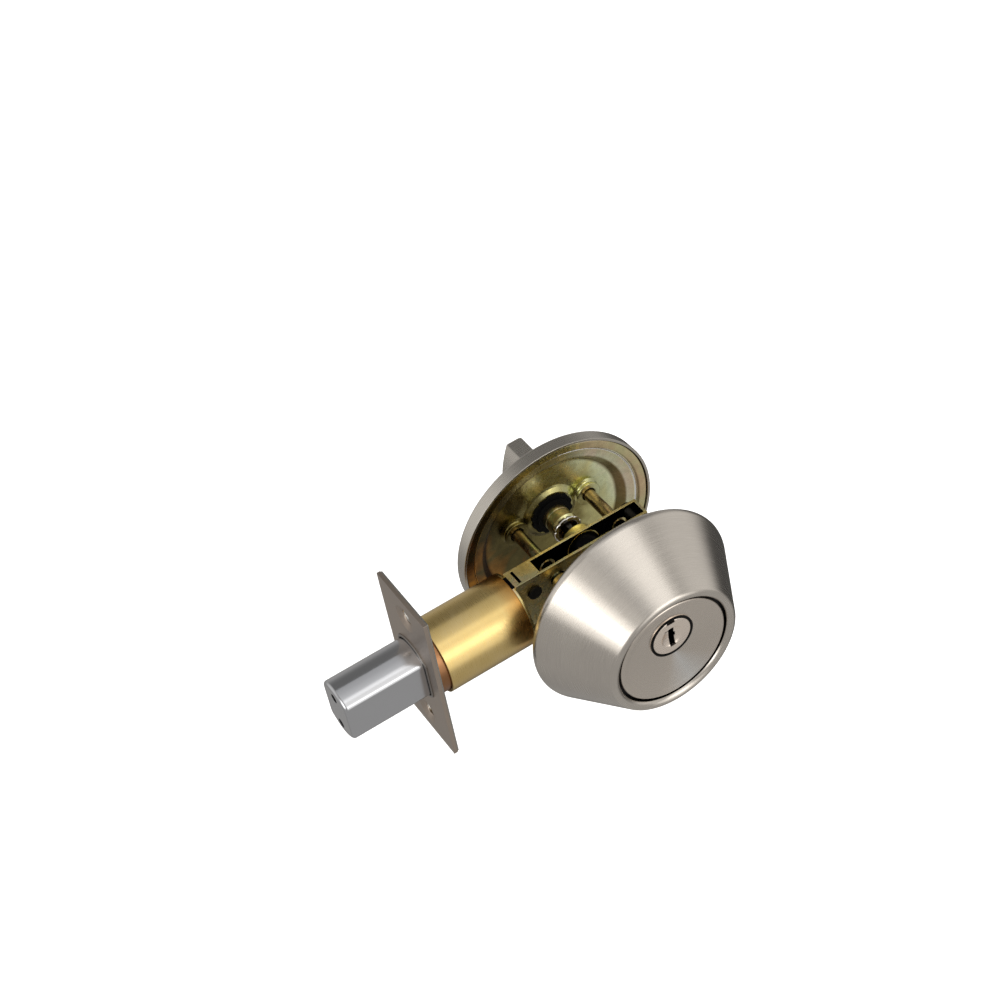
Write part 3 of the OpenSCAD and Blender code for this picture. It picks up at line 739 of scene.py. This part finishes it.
def make_tube():
    """Gold tube round the bolt."""
    wall = 0.7
    low, high = span("bolt_tube")
    outline = tube_outline(high.y - wall, high.y, low.x, high.x, 0.2)
    return lathe("bolt_tube_shell", outline, "X")


def make_sleeve():
    """Guide sleeve: a round body, and a neck of the bolt's outline, rolled over the faceplate as a lip."""
    low, high = span("guide_sleeve")
    plate = span("faceplate_backing")[1].x
    bore_r = 9.75
    body = lathe("sleeve_body", tube_outline(bore_r, high.y, plate, high.x, 0.2), "X")
    lip = 0.8
    gap = 0.3
    mesh_data = bmesh.new()
    inner, outer = gap, gap + lip
    stations = [(plate, inner), (low.x + 0.3, inner), (low.x + 0.1, inner + 0.1), (low.x, inner + 0.35),
                (low.x + 0.1, outer - 0.1), (low.x + 0.3, outer), (plate, outer)]
    rings = [[place("X", p[0], along, p[1]) for p in bolt_outline(grow)] for along, grow in stations]
    skin(mesh_data, rings, closed=True, caps=False)
    return merge("guide_sleeve_shell", body, solid("lip", mesh_data))


def make_faceplate():
    """Square-cornered plate with eased edges and two countersunk holes."""
    low, high = span("faceplate")
    plate = box_solid("faceplate_body", low, high)
    hole_z, hole_r = 20.65, 2.3
    sink_r, sink_depth = 4.3, 0.8
    bolt_gap = 1.1
    holes = []
    for z in (-hole_z, hole_z):
        outline = [(0, low.x - 0.5), (4.75, low.x - 0.5), (sink_r, low.x + 0.1), (hole_r, low.x + sink_depth)]
        outline += [(hole_r, high.x + PAST), (0, high.x + PAST)]
        holes.append(lathe("hole", outline, "X", z, FINE_TURNS))
    bolt_hole = loft("hole", bolt_outline, [(low.x - PAST, bolt_gap), (high.x + PAST, bolt_gap)], "X")
    return soften(cut(plate, bolt_hole, *holes), 0.16, 2, CUT_SHARP)


def polish_node(node):
    """Better edges on a CAD node that keeps its shape: its seams are welded and its sharp edges eased."""
    obj = frame["nodes"][node]
    weld = obj.modifiers.new("weld", "WELD")
    weld.merge_threshold = 0.001 * MM
    ease = obj.modifiers.new("ease", "BEVEL")
    ease.width = 0.12 * MM
    ease.segments = 2
    ease.limit_method = "ANGLE"
    ease.angle_limit = math.radians(CUT_SHARP)
    ease.harden_normals = False


def bolt_and_case():
    """The bolt, its tube and faceplate, and the case, whose CAD shapes are kept."""
    dress(make_bolt(), "bolt", "bolt_bar")
    dress(make_tube(), "lock", "bolt_tube")
    dress(make_sleeve(), "lock", "guide_sleeve")
    dress(make_faceplate(), "lock", "faceplate")
    for node in ("case_inner_plate", "case_outer_plate", "case_rivets", "crank_cam", "tube_spigot", "drawbar",
                 "faceplate_backing"):
        polish_node(node)


# ---------------------------------------------------------------- the inside trim

ROSE_LOW, ROSE_HIGH = span("rose")
DOOR_IN = ROSE_LOW.y
PLATEAU = ROSE_HIGH.y
SCREW_LOW, SCREW_HIGH = span("screw_right")
SCREW_X = (SCREW_LOW.x + SCREW_HIGH.x) / 2
BARREL_LOW, BARREL_HIGH = span("spindle_barrel")
BARREL_R = BARREL_HIGH.x
MOUTH_R = 3.4        # of the hollow in the barrel's end


def make_rose():
    """Pressed shell: short rim, flat ring, one step up to the plateau, dished screw holes."""
    wall = 0.8
    face = PLATEAU - 1.3
    step_foot, step_top = 26.3, 24.3
    under_foot, under_top = 26.0, 24.0
    outline = rounded([(TRIM_R - wall, DOOR_IN, 0.1), (TRIM_R, DOOR_IN, 0.12), (TRIM_R - 0.15, face, 1.0),
                       (step_foot, face, 1.2), (step_top, PLATEAU, 1.2), (0, PLATEAU, 0),
                       (0, PLATEAU - wall, 0), (under_top, PLATEAU - wall, 0.8),
                       (under_foot, face - wall, 0.8),
                       (TRIM_R - wall - 0.2, face - wall, 0.4)], 0.3, 8)
    rose = lathe("rose_shell", outline, turns=SHELL_TURNS)
    cutters = [bar("hole", BARREL_R + 0.4, DOOR_IN, PLATEAU + PAST, centre=HUB_Z, edge=0)]
    hole_r, dish_r = 3.0, 4.5
    for x in (-SCREW_X, SCREW_X):
        dished = [(0, DOOR_IN), (hole_r, DOOR_IN), (hole_r, PLATEAU - 0.55), (3.35, PLATEAU - 0.3),
                  (4.0, PLATEAU - 0.12), (dish_r, PLATEAU + 0.05), (dish_r, PLATEAU + PAST),
                  (0, PLATEAU + PAST)]
        cutters.append(cone("hole", dished, HUB_Z, x))
    return soften(cut(rose, *cutters), 0.08, 2, CUT_SHARP)


def make_backing():
    """Pressed plate inside the rose: outer ring, shallow step, pan, a raised lip and two screw bosses."""
    low, high = span("backing_plate")
    ring_y = low.y
    floor = high.y - 1
    outline = rounded([(high.x, ring_y, 0.3), (29.4, ring_y, 0.2), (29.2, ring_y + 1.0, 0.15),
                       (28.9, ring_y + 1.0, 0.1), (28.6, ring_y + 0.65, 0.15), (28.2, ring_y + 1.2, 0.2),
                       (25.4, ring_y + 1.5, 0.6), (23.3, floor, 0.9), (0, floor, 0), (0, high.y, 0),
                       (23.7, high.y, 0.6), (26.0, ring_y + 2.5, 0.6), (29.8, ring_y + 2.1, 0.4),
                       (30.2, ring_y + 1, 0.3), (high.x, ring_y + 1, 0.3)], 0.3, 7)
    plate = lathe("plate", outline, turns=SHELL_TURNS)
    bushing_r, bore_r, neck_r = 6.5, 2.25, 3.3
    top = high.y + PAST
    hole = bar("hole", bushing_r, DOOR_IN, top, centre=HUB_Z, edge=0)
    bores = [bar("hole", bore_r, DOOR_IN, top, centre=HUB_Z, x=x, edge=0) for x in (-SCREW_X, SCREW_X)]
    cut(plate, hole, *bores)
    lip = rounded([(bushing_r, floor + 0.5), (bushing_r, floor - 1.2, 0.2),
                   (bushing_r + 0.9, floor - 1.2, 0.4), (bushing_r + 2.2, floor - 0.3, 0.8),
                   (bushing_r + 3.2, floor + 0.2, 0.2),
                   (bushing_r + 3.2, floor + 0.5)], 0.1, 6)
    pieces = [plate, lathe("lip", lip, centre=HUB_Z, turns=FINE_TURNS)]
    tip = DOOR_IN + 1.9
    for x in (-SCREW_X, SCREW_X):
        boss = rounded([(bore_r, floor + 0.4), (bore_r, tip, 0.2), (4.0, tip, 0.25), (4.0, tip + 0.7, 0.25),
                        (neck_r, tip + 0.9, 0.3), (neck_r, floor - 0.5, 0.6), (4.6, floor + 0.1, 0.4),
                        (4.6, floor + 0.4)], 0.1, 5)
        pieces.append(lathe("boss", boss, centre=HUB_Z, turns=FINE_TURNS, x=x))
    return merge("backing_plate_shell", *pieces)


def toothed(outer):
    """Outline of a ring's outer edge with shallow teeth."""
    teeth, depth, count = 14, 0.45, 224
    steepness = 4
    out = []
    for i in range(count):
        a = 2 * math.pi * i / count
        wave = 0.5 + 0.5 * math.tanh(steepness * math.cos(teeth * a))
        radius = outer - depth * wave
        out.append((radius * math.cos(a), HUB_Z + radius * math.sin(a)))
    return out


def make_bushing():
    """Black bushing with a toothed flange that grips the plate's hole."""
    low, high = span("spindle_bushing")
    flange_t, body_r = 0.6, 6.45
    teeth = toothed(high.x)
    flange = loft("flange", lambda grow: teeth, [(low.y, 0), (low.y + flange_t, 0)], "Y")
    body = bar("body", body_r, low.y + 0.5, high.y, centre=HUB_Z)
    bushing = merge("spindle_bushing_ring", flange, body)
    bore = bar("hole", BARREL_R + 0.06, low.y - PAST, high.y + PAST, centre=HUB_Z, edge=0)
    return cut(bushing, bore)


def make_barrel():
    """Spindle barrel: hollow at its end, with a shallow groove and the tailpiece's slot."""
    low, high = BARREL_LOW, BARREL_HIGH
    mouth = low.y + 2.6
    groove = low.y + 4.6
    groove_r = BARREL_R - 0.18
    outline = rounded([(0, mouth, 0), (MOUTH_R, mouth, 0.1), (MOUTH_R, low.y, 0.2), (BARREL_R, low.y, 0.15),
                       (BARREL_R, groove, 0.05), (groove_r, groove + 0.15, 0.05),
                       (groove_r, groove + 0.55, 0.05), (BARREL_R, groove + 0.7, 0.05),
                       (BARREL_R, high.y, 0.2), (0, high.y, 0)], 0.1, 4)
    barrel = lathe("spindle_barrel_body", outline, centre=HUB_Z, turns=RING_TURNS)
    tail_low, tail_high = span("tailpiece")
    slot_hole = box_solid("slot", (tail_low.x - 0.1, low.y - PAST, tail_low.z - 0.1),
                          (tail_high.x + 0.1, tail_high.y + 0.2, tail_high.z + 0.1))
    return cut(barrel, slot_hole)


def make_crimp():
    """Bright ring rolled over the barrel's end, with small crimps cut into its edge."""
    low, high = span("spindle_ring")
    outline = rounded([(MOUTH_R, low.y, 0.1), (high.x, low.y, 0.4), (high.x, high.y - 0.2, 0.2),
                       (BARREL_R, high.y, 0.05), (BARREL_R, low.y + 0.3, 0), (MOUTH_R, low.y + 0.3, 0.05)],
                      0.1, 5)
    ring = lathe("spindle_ring_body", outline, centre=HUB_Z, turns=RING_TURNS)
    crimps = 10
    crimp_r = 0.42
    for i in range(crimps):
        a = 2 * math.pi * (i + 0.5) / crimps
        mesh_data = bmesh.new()
        bmesh.ops.create_uvsphere(mesh_data, u_segments=20, v_segments=12, radius=crimp_r)
        where = (high.x * math.cos(a), low.y + 0.05, HUB_Z + high.x * math.sin(a))
        bmesh.ops.translate(mesh_data, vec=where, verts=mesh_data.verts)
        cut(ring, solid("crimp", mesh_data))
    return ring


def turn_outline(grow):
    """Thumbturn's outline: two long arcs and two narrow flat ends, with rounded corners."""
    steps = 28
    arc_share = 0.965
    low, high = span("thumbturn")
    half_w, half_l = high.x + grow, (high.z - low.z) / 2 + grow
    end = 2.5 + grow
    sag = half_w - end
    radius = (half_l ** 2 + sag ** 2) / (2 * sag)
    reach = math.degrees(math.asin(half_l / radius)) * arc_share
    right = arc(half_w - radius, 0, radius, -reach, reach, steps)
    left = [(-x, -z) for x, z in right]
    return [(x, HUB_Z + z) for x, z in ease_ends(right, half_l) + ease_ends(left, -half_l)]


def ease_ends(side, tip):
    """One side of the thumbturn with both of its corners eased into the flat ends."""
    ease = ((0.12, 0.22), (0.42, 0.04), (0.8, 0.0))        # (inwards, short of the end)
    start_x, last_x = side[0][0], side[-1][0]
    sign = 1 if last_x > 0 else -1
    corner = [(last_x - sign * inwards, tip - short * sign) for inwards, short in ease]
    start = [(start_x - sign * inwards, -tip + short * sign) for inwards, short in reversed(ease)]
    return start + side + corner


def make_thumbturn():
    """Lens-shaped handle on a short round neck."""
    low, high = span("thumbturn")
    neck_r = 5.6
    foot = low.y + 2.0
    stations = rounded_end(foot, 0.5, 1, 4) + list(reversed(rounded_end(high.y, 1.3, -1, 8)))
    handle = loft("handle", turn_outline, stations, "Y")
    neck = lathe("neck", disc_outline(neck_r, low.y, foot + 0.4, 0.2), centre=HUB_Z, turns=FINE_TURNS)
    return merge("thumbturn_handle", handle, neck)


def make_screw(name):
    """Mounting screw: oval head with a cross slot, plain shank, and a rolled thread on its last part."""
    low, high = span(name)
    x = (low.x + high.x) / 2
    head = high.y - 1.9
    radius = 1.9
    head_r = high.x - x
    outline = [(0, head - 0.6), (radius, head - 0.6), (radius, head), (head_r - 0.5, head)]
    outline += arc(head_r - 0.25, head + 0.25, 0.25, -90, 0, 5)
    outline += [(head_r - 0.1, head + 0.7), (head_r - 0.7, head + 1.3), (head_r - 1.7, high.y - 0.12),
                (0, high.y)]
    cap = lathe("head", outline, centre=HUB_Z, turns=FINE_TURNS, x=x)
    deep = high.y - 1.0
    long, short = 2.1, 0.45
    wings = []
    for half_x, half_z in ((long, short), (short, long)):
        wings.append(box_solid("wing", (x - half_x, deep, HUB_Z - half_z),
                               (x + half_x, high.y + PAST, HUB_Z + half_z)))
    cut(cap, *wings)
    shank = shank_with_thread(x, low.y, head - 0.5, radius)
    return merge(name + "_body", cap, shank)


def shank_with_thread(x, tip, top, radius):
    """Shank whose last part carries a true helix: the radius follows the angle and the height."""
    pitch, depth, threaded = 0.8, 0.28, 16.0
    run_out = 1.5                        # length over which the thread fades into the shank
    point_share, point_length = 0.72, 1.2
    crest = 1.25                         # how much wider a crest is than a plain triangle's
    shading = 50
    turns = 40
    step = pitch / 8
    mesh_data = bmesh.new()
    rings = []
    count = int(threaded / step)
    for i in range(count + 1):
        y = tip + i * step
        ring = []
        for j in range(turns):
            a = 2 * math.pi * j / turns
            phase = (y / pitch + j / turns) % 1.0
            tooth = 1 - abs(2 * phase - 1)
            fade = min(1.0, (count - i) * step / run_out)
            point = min(1.0, point_share + (1 - point_share) * i * step / point_length)
            r = (radius - depth * (1 - min(1.0, tooth * crest)) * fade) * point
            ring.append((x + r * math.cos(a), y, HUB_Z + r * math.sin(a)))
        rings.append(ring)
    for y in (tip + threaded + 0.4, top):
        rings.append([(x + radius * math.cos(2 * math.pi * j / turns), y,
                       HUB_Z + radius * math.sin(2 * math.pi * j / turns)) for j in range(turns)])
    skin(mesh_data, rings, closed=False, caps=True)
    return solid("shank", mesh_data, shading)


def inside_trim():
    """The pieces of the thumbturn side."""
    dress(make_rose(), "lock", "rose")
    dress(make_backing(), "lock", "backing_plate")
    dress(make_bushing(), "lock", "spindle_bushing")
    dress(make_barrel(), "turn", "spindle_barrel", look="barrel_chromate")
    dress(make_crimp(), "turn", "spindle_ring")
    dress(make_thumbturn(), "turn", "thumbturn")
    for side in ("screw_left", "screw_right"):
        dress(make_screw(side), side, side)


# ---------------------------------------------------------------- inside the cylinder


def make_spring(node):
    """Coil of round wire between a driver pin and the cover."""
    low, high = span(node)
    wire = 0.16
    radius = high.x - wire
    coils = 9
    steps = 24
    around = 8
    middle = (low.y + high.y) / 2
    count = coils * steps
    mesh_data = bmesh.new()
    rings = []
    for i in range(count + 1):
        a = 2 * math.pi * i / steps
        z = low.z + wire + (high.z - low.z - 2 * wire) * i / count
        ring = []
        for out, lift in arc(0, 0, wire, 0, 360 * (around - 1) / around, around - 1):
            reach = radius + out
            ring.append((reach * math.cos(a), middle + reach * math.sin(a), z + lift))
        rings.append(ring)
    skin(mesh_data, rings, closed=False, caps=True)
    return solid(node + "_wire", mesh_data)


def cylinder_insides():
    """Coils in place of the CAD's plain springs."""
    for node in frame["nodes"]:
        if node.startswith("pin_spring"):
            dress(make_spring(node), "lock", node)


# ---------------------------------------------------------------- the studio


def studio_floor():
    """Wide pale floor, well under the lock."""
    size = 3.0
    below = 0.03
    drop = cad_box[0][2] - below
    mesh_data = bmesh.new()
    bmesh.ops.create_grid(mesh_data, x_segments=1, y_segments=1, size=size)
    bmesh.ops.translate(mesh_data, vec=(0, 0, drop), verts=mesh_data.verts)
    mesh = bpy.data.meshes.new("studio_floor")
    mesh_data.to_mesh(mesh)
    mesh_data.free()
    floor = bpy.data.objects.new("studio_floor", mesh)
    bpy.context.scene.collection.objects.link(floor)
    paint = Paint("floor_paint", (0.92, 0.92, 0.92), 0.9, 0.0, emission_color=(1, 1, 1, 1),
                  emission_strength=0.85)
    floor.data.materials.append(paint.material)
    floor.visible_glossy = False


def softbox(name, where, aim, width, height, power, colour=(1, 1, 1)):
    """Rectangular light, turned to a point."""
    light = bpy.data.lights.new(name, "AREA")
    light.shape = "RECTANGLE"
    light.size = width
    light.size_y = height
    light.energy = power
    light.color = colour
    obj = bpy.data.objects.new(name, light)
    obj.location = where
    obj.rotation_euler = (Vector(aim) - Vector(where)).to_track_quat("-Z", "Y").to_euler()
    bpy.context.scene.collection.objects.link(obj)


def studio_world():
    """Grey room: bright areas on the left, in front and on the right, darker ones high and low behind."""
    world = bpy.data.worlds.new("studio")
    bpy.context.scene.world = world
    world.use_nodes = True
    tree = world.node_tree
    way = tree.nodes.new("ShaderNodeTexCoord").outputs["Generated"]
    level = 0.44
    tone = (1.0, 0.975, 0.94, 1)
    # Each area: the direction of its middle, the cosines where it starts and is full, and its gain.
    walls = [((-0.85, -0.29, 0.44), 0.915, 0.95, 1.15), ((-0.576, -0.388, 0.719), 0.935, 0.975, 0.40),
             ((0.31, -0.91, 0.26), 0.80, 0.97, 0.85), ((0.28, -0.60, 0.75), 0.90, 0.96, 0.80),
             ((-0.70, 0.60, 0.30), 0.60, 1.0, 0.35), ((0.70, 0.30, -0.65), 0.70, 0.95, -0.36),
             ((0.29, 0.63, 0.72), 0.60, 0.98, -0.24), ((0.95, -0.1, 0.25), 0.75, 1.0, 0.35),
             ((-0.29, 0.63, -0.72), 0.70, 0.95, -0.09)]
    total = None
    for direction, start, end, gain in walls:
        dot = tree.nodes.new("ShaderNodeVectorMath")
        dot.operation = "DOT_PRODUCT"
        tree.links.new(way, dot.inputs[0])
        dot.inputs[1].default_value = direction
        glow = tree.nodes.new("ShaderNodeMapRange")
        glow.interpolation_type = "SMOOTHSTEP"
        tree.links.new(dot.outputs["Value"], glow.inputs["Value"])
        glow.inputs["From Min"].default_value = start
        glow.inputs["From Max"].default_value = end
        glow.inputs["To Max"].default_value = gain
        add = tree.nodes.new("ShaderNodeMath")
        tree.links.new(glow.outputs[0], add.inputs[0])
        if total is None:
            add.inputs[1].default_value = level
        else:
            tree.links.new(total, add.inputs[1])
        total = add.outputs[0]
    background = tree.nodes["Background"]
    tree.links.new(total, background.inputs["Strength"])
    background.inputs["Color"].default_value = tone


def studio_camera():
    """Camera set by its direction, roll, distance and aim, in the row frame."""
    azimuth, elevation, roll = (math.radians(a) for a in (24.74, 45.99, -10.95))
    aim = Vector((-13.3, 24.6, 16.25)) * MM
    distance = 0.6
    forward = Vector((math.sin(azimuth) * math.cos(elevation), math.cos(azimuth) * math.cos(elevation),
                      -math.sin(elevation)))
    level = forward.cross(Vector((0, 0, 1))).normalized()
    above = level.cross(forward)
    right = level * math.cos(roll) + above * math.sin(roll)
    up = right.cross(forward)
    camera = bpy.data.cameras.new("camera")
    camera.sensor_width = 36
    camera.lens = 74.17
    camera.clip_start = 0.01
    obj = bpy.data.objects.new("camera", camera)
    basis = Matrix((right, up, -forward)).transposed().to_4x4()
    obj.matrix_world = Matrix.Translation(aim - forward * distance) @ basis
    bpy.context.scene.collection.objects.link(obj)
    bpy.context.scene.camera = obj


def studio():
    """Floor, room and lights."""
    studio_floor()
    studio_world()
    centre = (-0.02, 0.0, 0.0)
    softbox("top_light", (0.1, 0.0, 1.1), centre, 1.2, 1.0, 1.4)
    softbox("left_light", (-0.96, -0.33, 0.50), centre, 0.5, 0.35, 1.0)
    softbox("front_light", (0.35, -1.0, 0.5), centre, 0.6, 0.4, 0.9, (1.0, 0.98, 0.95))
    bpy.context.scene.view_settings.view_transform = "Standard"


materials = build_materials()
OWN_LOOK = {"drawbar": "case_steel", "drive_pin": "case_steel", "cam_spring": "case_steel",
            "case_rivets": "rivet_steel"}
for node, obj in frame["nodes"].items():
    look = "key_pin_brass" if node.startswith("key_pin") else OWN_LOOK.get(node, SLOT_OF[node])
    for slot in obj.material_slots:
        slot.material = materials[look]

outside_trim()
bolt_and_case()
inside_trim()
cylinder_insides()
studio_camera()
studio()
